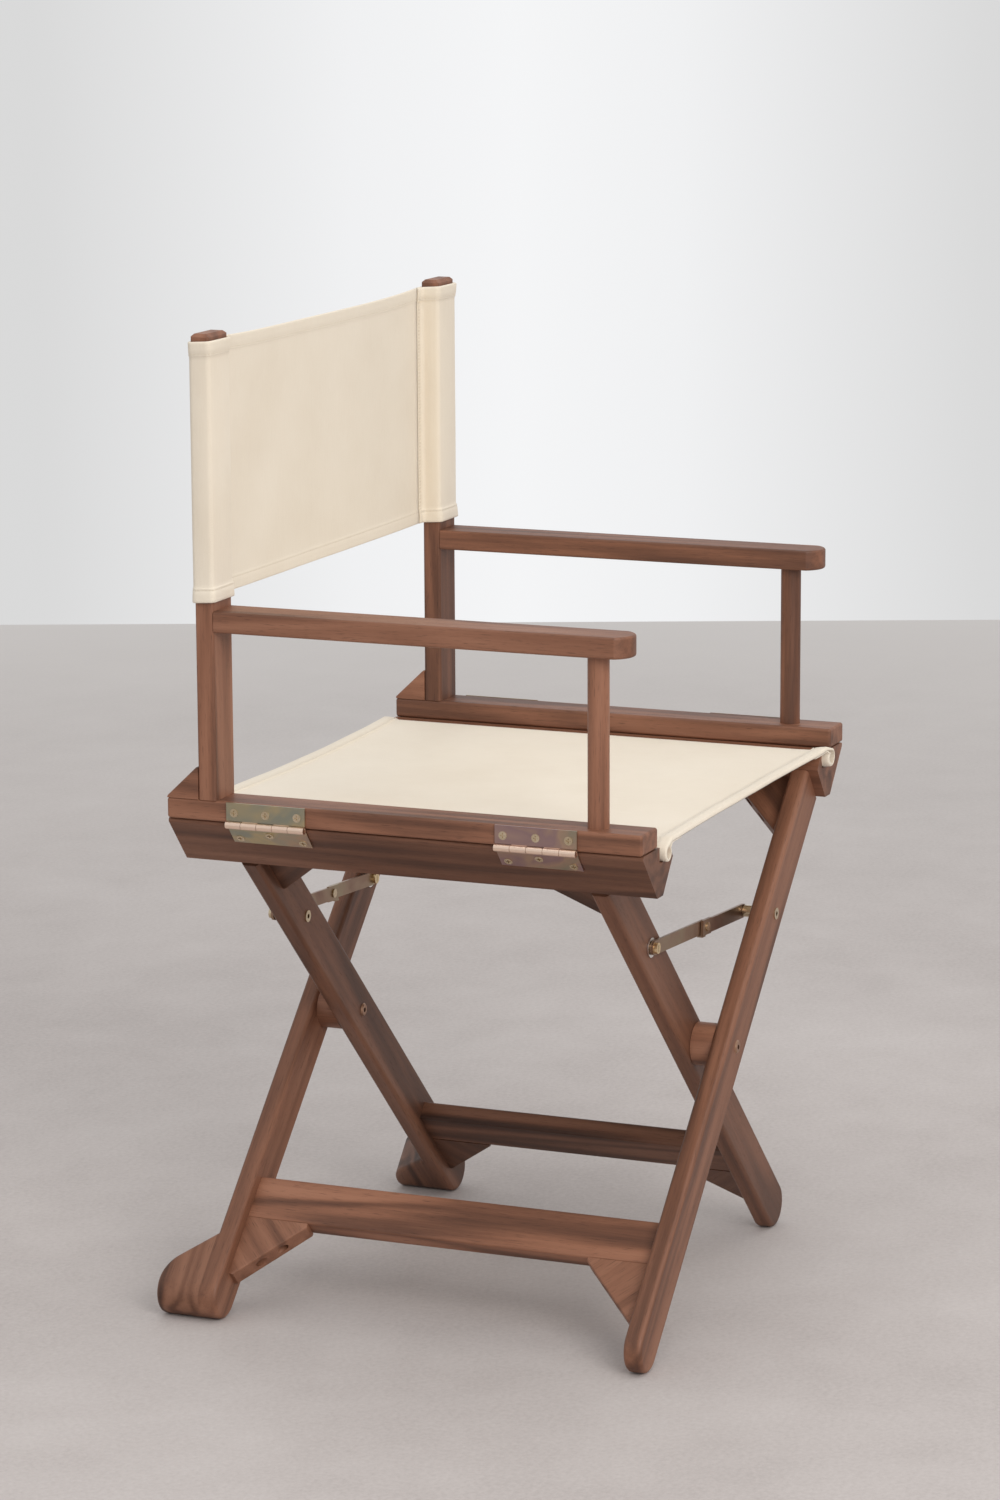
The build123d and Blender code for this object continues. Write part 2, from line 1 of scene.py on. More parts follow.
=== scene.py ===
import bpy
from math import atan2, cos, hypot, pi, radians, sin, sqrt
from mathutils import Matrix, Vector, noise
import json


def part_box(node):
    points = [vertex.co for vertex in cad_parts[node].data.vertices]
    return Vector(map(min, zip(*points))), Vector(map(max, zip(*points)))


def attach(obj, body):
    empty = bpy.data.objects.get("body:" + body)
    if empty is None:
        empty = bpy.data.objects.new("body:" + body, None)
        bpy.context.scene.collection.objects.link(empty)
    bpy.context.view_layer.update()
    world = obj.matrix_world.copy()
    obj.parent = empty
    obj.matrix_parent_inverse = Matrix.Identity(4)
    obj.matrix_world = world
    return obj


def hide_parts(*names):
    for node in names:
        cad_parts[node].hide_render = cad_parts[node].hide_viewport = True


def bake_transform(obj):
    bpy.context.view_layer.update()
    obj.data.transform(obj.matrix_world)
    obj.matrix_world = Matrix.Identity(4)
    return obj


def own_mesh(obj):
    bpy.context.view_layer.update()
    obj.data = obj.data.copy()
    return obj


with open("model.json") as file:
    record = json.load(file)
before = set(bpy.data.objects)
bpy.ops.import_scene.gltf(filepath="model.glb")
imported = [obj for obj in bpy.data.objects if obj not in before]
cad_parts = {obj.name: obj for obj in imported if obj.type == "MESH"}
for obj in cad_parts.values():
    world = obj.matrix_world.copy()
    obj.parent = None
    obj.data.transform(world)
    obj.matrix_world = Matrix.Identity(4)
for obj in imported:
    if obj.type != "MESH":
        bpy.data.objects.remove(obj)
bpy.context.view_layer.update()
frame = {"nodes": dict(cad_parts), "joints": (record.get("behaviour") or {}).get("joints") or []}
nodes = frame["nodes"]
joints = {j["name"]: j for j in frame["joints"]}


# ---- Seat rails ----
# Two lengths of acacia, planed to a slant below and grooved on top for the canvas roll.
# They are stained walnut brown and rubbed with oil, so streaks and pores still show.
class Shade:
    """A socket of a material, written into sums like a number."""

    def __init__(self, tree, socket=None):
        self.tree, self.socket = tree, socket

    def node(self, kind, settings=None, inputs=None, out=0):
        """One output of a new node on the same tree, with its settings and inputs."""
        made = self.tree.nodes.new("ShaderNode" + kind)
        for key, value in (settings or {}).items():
            if key == "stops":
                stops = made.color_ramp.elements
                while len(stops) < len(value):
                    stops.new(0.5)
                for stop, (level, _) in zip(stops, value):
                    stop.position = level
                for stop, (_, colour) in zip(stops, value):
                    stop.color = (*colour, 1)
            else:
                setattr(made, key, value)
        for key, value in (inputs or {}).items():
            if isinstance(value, Shade):
                self.tree.links.new(value.socket, made.inputs[key])
            else:
                made.inputs[key].default_value = value
        return Shade(self.tree, made.outputs[out])

    def maths(self, operation, a, b=0.0):
        return self.node("Math", {"operation": operation}, {0: a, 1: b})

    def __add__(self, other):
        return self.maths("ADD", self, other)

    def __sub__(self, other):
        return self.maths("SUBTRACT", self, other)

    def __rsub__(self, other):
        return self.maths("SUBTRACT", other, self)

    def __mul__(self, other):
        return self.maths("MULTIPLY", self, other)

    __radd__, __rmul__ = __add__, __mul__

    def place(self):
        """Where a point is on the piece, in metres."""
        return self.node("TexCoord", out="Object")

    def dot(self, way):
        return self.node("VectorMath", {"operation": "DOT_PRODUCT"}, {0: self, 1: way}, "Value")

    def stretched(self, way, along, across, start=(0, 0, 0)):
        """Position scaled by one number along a way and by another across it."""
        run = self.dot(way) * (along - across)
        line = self.node("VectorMath", {"operation": "SCALE"}, {0: way, "Scale": run})
        wide = self.node("VectorMath", {"operation": "SCALE"}, {0: self, "Scale": across})
        both = self.node("VectorMath", {"operation": "ADD"}, {0: line, 1: wide})
        return self.node("VectorMath", {"operation": "ADD"}, {0: both, 1: start})

    def noise(self, detail=2.0, rough=0.5, twist=0.0, scale=1.0):
        return self.node("TexNoise", {}, {"Vector": self, "Scale": scale, "Detail": detail,
                                          "Roughness": rough, "Distortion": twist})

    def ramp(self, *stops):
        """Colours at levels of this value, each stop a level and its colour."""
        return self.node("ValToRGB", {"stops": stops}, {0: self})

    def blend_to(self, colour, share):
        """This colour mixed with a fixed one by a share."""
        return self.node("Mix", {"data_type": "RGBA"}, {0: share, 6: self, 7: (*colour, 1)}, 2)

    def between(self, low, high):
        """0 below low, 1 above high, straight between."""
        return self.node("MapRange", {}, {0: self, 1: low, 2: high})


def finish_of(colour, roughness, bump, height, strength, **fixed):
    """Lead shades to the shader of the material they were made on, and set its fixed values."""
    tree, shader = colour.tree, colour.tree.nodes["Principled BSDF"]
    relief = bump.node("Bump", {}, {"Strength": strength, "Distance": height, "Height": bump})
    tree.links.new(colour.socket, shader.inputs["Base Color"])
    tree.links.new(roughness.socket, shader.inputs["Roughness"])
    tree.links.new(relief.socket, shader.inputs["Normal"])
    for key, value in fixed.items():
        shader.inputs[key.replace("_", " ")].default_value = value


def new_material(name):
    """A material, and the shade that its sums start from."""
    made = bpy.data.materials.new(name)
    made.use_nodes = True
    return made, Shade(made.node_tree)


def dress(material, *names):
    """Give a material to drawn parts, by name."""
    for name in names:
        nodes[name].data.materials.clear()
        nodes[name].data.materials.append(material)


STAIN = ((0.28, (0.062, 0.026, 0.016)), (0.42, (0.142, 0.060, 0.034)),
         (0.52, (0.236, 0.101, 0.057)), (0.66, (0.330, 0.152, 0.090)))
PORE_BROWN = (0.035, 0.016, 0.011)
RINGS = 46.0


def wood(name, way, seed, tone_and_shade=1.0, figure=0.5):
    """Walnut-stained acacia with its grain along a way."""
    made, start = new_material(name)
    way = Vector(way).normalized()
    place = start.place()
    shift = Vector((seed * 1.37, seed * 2.11, seed * 0.73))
    # Broad figure with its rings, darker streaks, fine fibres and open pores, all long
    # along the grain and narrow across it.
    broad = place.stretched(way, 1.6, 15.0, shift).noise(2.0, 0.45, 0.3)
    rings = (start.maths("SINE", broad * RINGS) + 1.0) * 0.5
    streak = place.stretched(way, 2.2, 70.0, shift * 2).noise(3.0, 0.55, 0.2)
    fibre = place.stretched(way, 24.0, 900.0, shift).noise(3.0, 0.6)
    pores = place.stretched(way, 70.0, 1900.0, shift).noise(1.0).between(0.62, 0.74)
    depth = broad * 0.55 + streak * 0.45 + (rings - 0.5) * (0.16 * figure) + (fibre - 0.5) * 0.12
    # The browns are scaled by a tone; on pieces that stand in shade or in light it is painted shade or
    # painted light.
    browns = [(level, tuple(tone_and_shade * part for part in brown)) for level, brown in STAIN]
    colour = depth.ramp(*browns).blend_to(PORE_BROWN, pores * 0.55)
    rough = 0.40 + fibre * 0.16 + pores * 0.15
    finish_of(colour, rough, fibre * 0.5 - pores, 0.00012, 0.35, Specular_IOR_Level=0.38)
    return made


Y = (0, 1, 0)
# The near rail gets a darker tone than the far one: painted shade, as its slanted underside faces down.
dress(wood("near_seat_rail_wood", Y, seed=1, tone_and_shade=0.66), "inner_seat_rail")
dress(wood("far_seat_rail_wood", Y, seed=2, tone_and_shade=0.92), "outer_seat_rail")


# ---- Legs and foot blocks ----
# Square-sawn acacia legs with rounded arrises; a shorter block of the same stuff is
# glued behind each rear leg, so that the foot is wide on the floor.
pivot = Vector(joints["fold"]["pos_m"])
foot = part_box("outer_leg_front")[0]
leg_half = 0.022
lean = atan2(-foot.x - leg_half, pivot.z - leg_half)
UP_LEG = {"outer": (sin(lean), 0, cos(lean)), "inner": (-sin(lean), 0, cos(lean))}
# The inner frame gets a darker tone than the outer one: painted shadow from the seat above it.
for frame_name, seed, tone_and_shade in (("outer", 3, 0.92), ("inner", 5, 0.74)):
    way = UP_LEG[frame_name]
    dress(wood(f"{frame_name}_front_leg_wood", way, seed, tone_and_shade), f"{frame_name}_leg_front")
    dress(wood(f"{frame_name}_rear_leg_wood", way, seed + 1, tone_and_shade), f"{frame_name}_leg_rear")
    dress(wood(f"{frame_name}_foot_wood", way, seed + 8.5, tone_and_shade=0.8 * tone_and_shade, figure=1.6),
          f"{frame_name}_foot_block")


# ---- Stretchers and gussets ----
# A board between the legs of each frame, and four sawn corner blocks that brace it
# and the seat rail. Each block is drilled for two screws through its sloping edge.
# The inner stretcher and its blocks get a much darker tone than the outer ones: painted shadow under the
# seat, and painted light on the outer frame.
for frame_name, seed, tone_and_shade in (("outer", 21, 1.1), ("inner", 31, 0.62)):
    way = Vector(UP_LEG[frame_name])
    dress(wood(f"{frame_name}_stretcher_wood", Y, seed, tone_and_shade, figure=1.2), f"{frame_name}_stretcher")
    for end, turn in (("front", 1), ("rear", -1)):
        for brace, slope in (("stretcher", -1), ("rail", 1)):
            seed += 1
            gusset = f"{frame_name}_{brace}_gusset_{end}"
            dress(wood(f"{gusset}_wood", way + Vector((0, turn * slope, 0)), seed, 0.85 * tone_and_shade), gusset)


# ---- Arm units ----
# Each side is a base rail, a back post with a small block behind it, a flat armrest
# and a turned dowel at the front, all glued up in the same stained wood.
# The far left armrest gets a lighter tone than the near right one: painted light.
for side, seed, tone_and_shade in (("left", 41, 1.15), ("right", 51, 0.92)):
    dress(wood(f"{side}_base_rail_wood", Y, seed), f"{side}_base_rail")
    dress(wood(f"{side}_armrest_wood", Y, seed + 1, tone_and_shade), f"{side}_armrest")
    dress(wood(f"{side}_post_wood", (0, 0, 1), seed + 2), f"{side}_post")
    dress(wood(f"{side}_post_block_wood", Y, seed + 3), f"{side}_post_block")
    dress(wood(f"{side}_dowel_wood", (0, 0, 1), seed + 4, tone_and_shade=1.08), f"{side}_arm_dowel")


# ---- Hinges and their screws ----
# Pressed steel butt hinges in yellow zinc, which has turned green, violet and gold in
# patches. The barrel is coloured brighter, and each leaf is held by three crosshead screws.
BRIGHT_EDGE = 0.0002


def zinc(name, tints, seed, patch=1.0, rough=0.3, axis=None, radius=0.0, bright=None):
    """Plated metal in drifting tints, with a brighter colour inside a radius round an axis."""
    made, start = new_material(name)
    place = start.place()
    shift = Vector((seed, seed * 0.7, seed * 1.9))
    drift = place.stretched(Y, 14.0 * patch, 22.0 * patch, shift).noise(3.0, 0.55, 0.6)
    colour = drift.ramp(*tints)
    scratch = place.stretched((0, 0, 1), 300.0, 2600.0, shift).noise(2.0)
    if axis is not None:
        out = place.node("VectorMath", {"operation": "SUBTRACT"}, {0: place, 1: axis})
        out = out.stretched(Y, 0.0, 1.0)
        reach = out.node("VectorMath", {"operation": "LENGTH"}, {0: out}, "Value")
        colour = colour.blend_to(bright, 1 - reach.between(radius - BRIGHT_EDGE, radius + BRIGHT_EDGE))
    finish_of(colour, rough - 0.05 + scratch * 0.12, scratch, 0.00003, 0.3, Metallic=1.0)
    return made


GOLD = ((0.32, (0.34, 0.34, 0.27)), (0.44, (0.52, 0.42, 0.25)), (0.52, (0.42, 0.36, 0.27)),
        (0.60, (0.50, 0.36, 0.25)), (0.70, (0.36, 0.30, 0.28)))
VIOLET = ((0.34, (0.44, 0.30, 0.26)), (0.46, (0.36, 0.24, 0.24)), (0.54, (0.48, 0.33, 0.24)),
          (0.66, (0.34, 0.30, 0.22)))
BARREL_BRIGHT = (0.92, 0.70, 0.56)
BARREL_REACH = 0.0036
for side, frame_name, seed in (("left", "outer", 4.0), ("right", "inner", 9.0)):
    low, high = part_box(f"{side}_hinge_pins")
    for end, tints in (("front", VIOLET), ("rear", GOLD)):
        seed += 2.3
        leaf = zinc(f"{side}_{end}_hinge_zinc", tints, seed, axis=(low + high) / 2, radius=BARREL_REACH,
                    bright=BARREL_BRIGHT)
        dress(leaf, f"{side}_hinge_leaf_{end}", f"{frame_name}_hinge_leaf_{end}")
pin_zinc = zinc("pin_zinc", ((0.3, BARREL_BRIGHT), (0.7, (0.6, 0.45, 0.3))), 1.0)
screw_zinc = zinc("screw_zinc", ((0.3, (0.55, 0.44, 0.28)), (0.7, (0.72, 0.60, 0.44))), 3.0,
                  patch=6.0, rough=0.25)
dress(pin_zinc, "left_hinge_pins", "right_hinge_pins")
dress(screw_zinc, "left_hinge_screws", "right_hinge_screws", "outer_frame_screws",
      "inner_frame_screws")


# ---- Crossing bolts and spacers ----
# The two leg frames turn on a bronzed steel bolt at each crossing, with a turned wooden
# spacer between the legs that keeps the stays clear of them.
dress(wood("front_spacer_wood", Y, seed=61, tone_and_shade=1.05), "pivot_spacer_front")
dress(wood("rear_spacer_wood", Y, seed=62, tone_and_shade=1.05), "pivot_spacer_rear")
bolt_bronze = zinc("bolt_bronze", ((0.3, (0.30, 0.17, 0.11)), (0.7, (0.46, 0.28, 0.19))), 5.0,
                   patch=4.0, rough=0.35)
dress(bolt_bronze, "pivot_bolt_front", "pivot_bolt_rear")


# ---- Folding stays ----
# Two flat bars riveted in the middle, blued and lacquered to an old bronze. One end is
# bolted through a leg and the other turns under a slotted bolt on a pale washer.
BAR_TINTS = ((0.32, (0.25, 0.14, 0.10)), (0.50, (0.34, 0.23, 0.16)), (0.68, (0.36, 0.29, 0.19)))
WASHER_TINTS = ((0.3, (0.72, 0.70, 0.68)), (0.7, (0.86, 0.85, 0.84)))
BOLT_GOLD = (0.80, 0.62, 0.36)
BOLT_HEAD_R = 0.0056
for end, seed in (("front", 7.0), ("rear", 8.0)):
    bar = zinc(f"{end}_bar_bronze", BAR_TINTS, seed, rough=0.36)
    dress(bar, f"{end}_stay_bar_bolted", f"{end}_stay_bar_free")
    low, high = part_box(f"{end}_stay_end_bolt")
    bolt = zinc(f"{end}_end_bolt_zinc", WASHER_TINTS, seed, rough=0.24, axis=(low + high) / 2,
                radius=BOLT_HEAD_R, bright=BOLT_GOLD)
    dress(bolt, f"{end}_stay_end_bolt")
    dress(screw_zinc, f"{end}_stay_rivet", f"stay_bolt_{end}")


# ---- Seat canvas ----
# One width of heavy cotton canvas, hemmed front and rear, with a pocket sewn along each
# side. A dowel in the pocket makes the roll that drops into the groove of the seat rail.
THREAD = 0.00075
HOLLOW_SHADE_BROWN = (0.50, 0.40, 0.29)


def weave(name, across, down):
    """Undyed cotton duck, its threads along two ways over the surface."""
    made, start = new_material(name)
    place = start.place()
    pitch = pi / THREAD
    over = start.maths("SINE", place.dot(across) * pitch) * start.maths("SINE", place.dot(down) * pitch)
    warp = place.stretched(down, 60.0, 1300.0).noise(2.0, 0.6)
    weft = place.stretched(across, 60.0, 1300.0).noise(2.0, 0.6)
    cloud = place.noise(3.0, scale=11.0)
    slub = (warp + weft) * 0.5
    colour = (slub * 0.5 + cloud * 0.5).ramp((0.34, (0.775, 0.684, 0.552)),
                                            (0.50, (0.815, 0.730, 0.600)),
                                            (0.66, (0.850, 0.768, 0.642)))
    # The low cells of the weave are painted darker: painted shade in the hollows between the threads.
    colour = colour.blend_to(HOLLOW_SHADE_BROWN, over.between(0.25, -0.9) * 0.12)
    finish_of(colour, 0.78 + slub * 0.15, over * 0.5 + slub * 0.8, 0.00018, 0.5,
              Sheen_Weight=0.25, Sheen_Roughness=0.5)
    return made


def smooth_piece(name, points, faces, material):
    """New object from points and faces, shaded smooth."""
    mesh = bpy.data.meshes.new(name)
    mesh.from_pydata(points, [], faces)
    mesh.update()
    mesh.shade_smooth()
    mesh.materials.append(material)
    made = bpy.data.objects.new(name, mesh)
    bpy.context.scene.collection.objects.link(made)
    return made


def cloth(name, material, rows, line, way):
    """Closed thin sheet. line(row) gives middle points and thickness across each row.

    The rows go along a way, which with a row's own run gives the side that is outside.
    """
    lines = [line(row) for row in rows]
    count = len(lines[0][0])
    points, faces = [], []
    for middle, thick in lines:
        spots = [Vector(p) for p in middle]
        for i, p in enumerate(spots):
            run = (spots[min(i + 1, count - 1)] - spots[max(i - 1, 0)]).normalized()
            out = run.cross(way)
            points += [p + out * thick / 2, p - out * thick / 2]

    def at(row, i, layer):
        return (row * count + i) * 2 + layer

    last = len(rows) - 1
    for r in range(last):
        for i in range(count - 1):
            faces.append((at(r, i, 0), at(r + 1, i, 0), at(r + 1, i + 1, 0), at(r, i + 1, 0)))
            faces.append((at(r, i, 1), at(r, i + 1, 1), at(r + 1, i + 1, 1), at(r + 1, i, 1)))
        for i, a, b in ((0, 0, 1), (count - 1, 1, 0)):
            faces.append((at(r, i, a), at(r, i, b), at(r + 1, i, b), at(r + 1, i, a)))
    for i in range(count - 1):
        for r, a, b in ((0, 0, 1), (last, 1, 0)):
            faces.append((at(r, i, a), at(r, i + 1, a), at(r, i + 1, b), at(r, i, b)))
    return smooth_piece(name, points, faces, material)


PLAIN, DOUBLED, PLY_GAP, ROW_STEP = 0.0012, 0.0023, 0.0001, 0.011
# A hem is stitched this far inside its edge, has a round fold, and is pinched at the seam.
SEAM_IN, FOLD_R, PINCH, PINCH_WIDTH = 0.0014, 0.0008, 0.0007, 0.0012


def hem_rows(low, high, hem):
    """Places along a sheet from edge to edge, closer together at its two hems."""
    edge = [0, 0.0004, 0.0012, 0.003, hem * 0.5, hem - 0.0024, hem - SEAM_IN, hem - 0.0004,
            hem + 0.0004, hem + 0.0012, hem + 0.004]
    first, second = [low + e for e in edge], [high - e for e in reversed(edge)]
    start, span = first[-1], second[0] - first[-1]
    count = int(span / ROW_STEP)
    return first + [start + span / count * k for k in range(1, count)] + second


def hem_thickness(row, low, high, hem):
    """Cloth is doubled over inside the hem, pinched at its stitch line, rounded at the fold."""
    distance = min(row - low, high - row)
    if distance > hem + FOLD_R:
        return PLAIN
    if distance < FOLD_R:
        return DOUBLED * (0.45 + 0.55 * sqrt(max(0.0, distance) / FOLD_R))
    pinch = PINCH * max(0.0, 1 - abs(distance - hem + SEAM_IN) / PINCH_WIDTH)
    step = max(0.0, (distance - hem - FOLD_R + PINCH_WIDTH) / PINCH_WIDTH)
    return DOUBLED - pinch - (DOUBLED - PLAIN) * min(1.0, step)


thread, start = new_material("cotton_thread")
twist = start.place().stretched((1, 1, 1), 2400.0, 300.0).noise(1.0)
finish_of(twist.ramp((0.3, (0.60, 0.50, 0.37)), (0.7, (0.80, 0.71, 0.57))),
          0.6 + twist * 0.2, twist, 0.00006, 0.4)
PITCH, STITCH, GAUGE = 0.0034, 0.0027, 0.00030


def sewn(name, seams):
    """Rows of short raised threads. A seam is a list of places, each with its way out."""
    points, faces = [], []
    for seam in seams:
        walked, mark = 0.0, PITCH / 2
        for (a, out), (b, _) in zip(seam, seam[1:]):
            run = b - a
            while run.length and mark < walked + run.length:
                middle, along = a + run * ((mark - walked) / run.length), run.normalized()
                aside, first = along.cross(out), len(points)
                for end in (-0.5, -0.3, 0.3, 0.5):
                    spot = middle + along * (STITCH * end)
                    if abs(end) == 0.5:
                        points.append(spot - out * GAUGE)
                    else:
                        points += [spot + out * GAUGE, spot + aside * GAUGE, spot - out * GAUGE,
                                   spot - aside * GAUGE]
                for k in range(4):
                    n = (k + 1) % 4
                    faces += [(first, first + 1 + n, first + 1 + k),
                              (first + 1 + k, first + 1 + n, first + 5 + n, first + 5 + k),
                              (first + 5 + k, first + 5 + n, first + 9)]
                mark += PITCH
            walked += run.length
    made = smooth_piece(name, points, faces, thread)
    return made


low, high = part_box("seat_canvas")
mid_y, reach = (low.y + high.y) / 2, (high.y - low.y) / 2
dowel_low, dowel_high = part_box("outer_seat_dowel")
roll_x, roll_z = (dowel_low.x + dowel_high.x) / 2, (dowel_low.z + dowel_high.z) / 2
dowel_r = (dowel_high.z - dowel_low.z) / 2
rail_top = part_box("outer_seat_rail")[1].z
lip_x = roll_x - 0.0085
hem, pocket, pocket_seam = 0.013, 0.026, 0.0125
sag, waist, ripple_depth = 0.0042, 0.005, 0.0005
roll_ease, roll_start, roll_turn = 0.0004, 78, 300
seat_steps, roll_steps, pocket_steps = 26, 18, 6
loose_length, loose_edge, loose_swell, loose_out, loose_up = 0.022, 0.004, 0.18, 0.004, 0.003


def seat_dip(x, row):
    """How far the taut seat sags at a point, and how far its front and rear draw in there."""
    bow, share = 1 - (x / lip_x) ** 2, (row - mid_y) / reach
    return sag * bow * (1 - 0.55 * share * share), waist * bow * share


def seat_line(row):
    """One line across the seat, from the seam of one pocket to that of the other."""
    thick = hem_thickness(row, mid_y - reach, mid_y + reach, hem)
    top = rail_top + roll_ease + 1.5 * thick + PLY_GAP
    half_line = []
    for k in range(seat_steps + 1):
        x = lip_x * k / seat_steps
        dip, pull = seat_dip(x, row)
        ripple = ripple_depth * noise.noise(Vector((x * 16, row * 9, 0.3))) * (1 - (x / lip_x) ** 6)
        half_line.append((x, top - dip + ripple, pull))
    wrap = dowel_r + roll_ease + thick / 2
    for k in range(roll_steps + 1):
        turn = radians(roll_start - roll_turn * k / roll_steps)
        half_line.append((roll_x + cos(turn) * wrap, roll_z + sin(turn) * wrap, 0))
    under = top - thick - PLY_GAP
    half_line.append((lip_x - 0.0005, under, 0))
    for k in range(1, pocket_steps + 1):
        x = lip_x - pocket * k / pocket_steps
        dip, pull = seat_dip(x, row)
        half_line.append((x, under - dip, pull))
    full = [(-x, row - pull, z) for x, z, pull in reversed(half_line[1:])]
    # The left roll's front end is pulled up and forward by the hem that is folded into it.
    loose = max(0.0, 1 - (row - low.y) / loose_length) ** 1.5
    for x, z, pull in half_line:
        rolled = loose * min(1.0, max(0.0, (x - lip_x + loose_edge) / (2 * loose_edge)))
        swell = 1 + loose_swell * rolled
        full.append((roll_x + (x - roll_x) * swell, row - pull - loose_out * rolled,
                     roll_z + (z - roll_z) * swell + loose_up * rolled))
    return full, thick


UP, DOWN = Vector((0, 0, 1)), Vector((0, 0, -1))
canvas_flat = weave("seat_canvas_weave", (1, 0, 1), (0, 1, 0))
seat = cloth("seat_cloth", canvas_flat, hem_rows(mid_y - reach, mid_y + reach, hem), seat_line, Vector(Y))
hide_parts("seat_canvas")
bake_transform(seat)
upper_ply, seam_end, seam_steps = rail_top - 0.002, 0.003, 40
seams = []
for row in (low.y + hem - SEAM_IN, high.y - hem + SEAM_IN):
    middle, thick = seat_line(row)
    seams.append([(Vector(p) + UP * thick / 2, UP) for p in middle
                  if abs(p[0]) < lip_x and p[2] > upper_ply + thick])
for x in (pocket_seam - lip_x, lip_x - pocket_seam):
    seam = []
    for k in range(seam_steps + 1):
        row = low.y + seam_end + 2 * (reach - seam_end) * k / seam_steps
        middle, thick = seat_line(row)
        near = min((p for p in middle if p[2] > upper_ply), key=lambda p: abs(p[0] - x) - p[2])
        seam.append((Vector((x, near[1], near[2] + thick / 2)), UP))
    seams.append(seam)
seat_threads = sewn("seat_stitches", seams)
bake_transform(seat_threads)


# ---- Back canvas ----
# A second piece of the same canvas whose ends are sewn into sleeves that slip over the
# back posts. It stands in line with the rear faces of the posts, hemmed top and bottom.
back_low, back_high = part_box("back_canvas")
back_height = back_high.z - back_low.z
posts = {side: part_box(f"{side}_post") for side in ("left", "right")}
post_faces = {"left": (posts["left"][0].x, posts["left"][1].x),
              "right": (posts["right"][1].x, posts["right"][0].x)}
hands = {"left": 1, "right": -1}
back_hem, tail, tuck = 0.0125, 0.010, 0.004
ease, corner, tail_corner = 0.0006, 0.0034, 0.0045
mouth, mouth_flare, fullness, front_rise = 0.016, 0.0012, 0.0009, 0.0012
sleeve_ripple, panel_ripple, panel_bow = 0.00025, 0.0006, 0.002
drop_low, drop_high = 0.0014, 0.0040
panel_y = posts["left"][1].y + ease + PLAIN / 2


def sleeve_line(side):
    """The loop round one post, from the panel's seam and back to it."""
    low, high = posts[side]
    inner, outer = post_faces[side]
    hand = hands[side]

    def line(row):
        thick = hem_thickness(row, back_low.z, back_high.z, back_hem)
        room = ease + thick / 2
        flare = mouth_flare * max(0.0, 1 - min(row - back_low.z, back_high.z - row) / mouth)
        full = fullness * sin(pi * (row - back_low.z) / back_height)
        x_in, x_out = inner - hand * room, outer + hand * (room + flare)
        y_front, y_rear = low.y - room - flare * 0.6, panel_y
        y_tail, y_middle = y_rear - thick - PLY_GAP, (y_rear + y_front) / 2
        bend = corner + thick / 2
        points = [(inner - hand * (tail - 0.0009 * k), y_tail) for k in range(4)]
        # A corner is where two faces meet, its radius, the side its centre is on, its first
        # angle and its turn. After it comes the middle of the next face, a little full.
        corners = ((x_in, y_tail, tail_corner, -1, -1, 90, -90, [(x_in - hand * full, y_middle)]),
                   (x_in, y_front, bend, 1, 1, 180, 90, [((x_in + x_out) / 2, y_front - full)]),
                   (x_out, y_front, bend, -1, 1, 270, 90, [(x_out + hand * full, y_middle)]),
                   (x_out, y_rear, bend, -1, -1, 0, 90, []))
        for x, y, radius, x_side, y_side, begin, turn, face in corners:
            x, y = x + hand * x_side * radius, y + y_side * radius
            for k in range(6):
                angle = radians(begin + turn * k / 5)
                points.append((x + hand * cos(angle) * radius, y + sin(angle) * radius))
            points += face
        points += [(x_out - hand * corner * 2, y_rear), ((inner + outer) / 2, y_rear),
                   (inner, y_rear), (inner - hand * (tail - tuck), y_rear)]
        loop = []
        for x, y in points:
            ripple = sleeve_ripple * noise.noise(Vector((x * 30, y * 30, row * 14)))
            rise = front_rise * min(1.0, max(0.0, (y_tail - y) / (y_tail - y_front)))
            loop.append((x + ripple, y + ripple, row + rise))
        return loop, thick

    return line


canvas_up = weave("back_canvas_weave", (1, 1, 0), (0, 0, 1))
back_rows = hem_rows(back_low.z, back_high.z, back_hem)
back_seam_rows = (back_low.z + back_hem - SEAM_IN, back_high.z - back_hem + SEAM_IN)
tail_seams, tail_seam_end = (0.0068, 0.0092), 0.002
for side, hand in hands.items():
    post_low, post_high = posts[side]
    sleeve = cloth(f"{side}_back_sleeve", canvas_up, back_rows, sleeve_line(side), DOWN)
    if side == "right":
        sleeve.data.flip_normals()
    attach(sleeve, f"{side}_arm")
    heart = (post_low + post_high) / 2
    seams = []
    for row in back_seam_rows:
        middle, thick = sleeve_line(side)(row)
        # The seam leaves out the tails, which lie flat on the panel.
        spots = [Vector(p) for p in middle[8:-2]]
        seam = []
        for a, b in zip(spots, spots[1:]):
            out = (b - a).normalized().cross(DOWN)
            out = out if out.dot(a - heart) > 0 else -out
            seam.append((a + out * thick / 2, out))
        seams.append(seam)
    for step in tail_seams:
        x = post_faces[side][0] - hand * step
        for y, out in ((panel_y - PLAIN * 1.5 - 2 * PLY_GAP, -1), (panel_y + PLAIN / 2, 1)):
            heights = [back_low.z + tail_seam_end + (back_height - 2 * tail_seam_end) * k / 8
                       for k in range(9)]
            seams.append([(Vector((x, y, z)), Vector((0, out, 0))) for z in heights])
    threads = sewn(f"{side}_sleeve_stitches", seams)
    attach(threads, f"{side}_arm")
panel_x = posts["left"][0].x - tail
panel_end = panel_x + tuck - 0.0003
panel_steps = 40


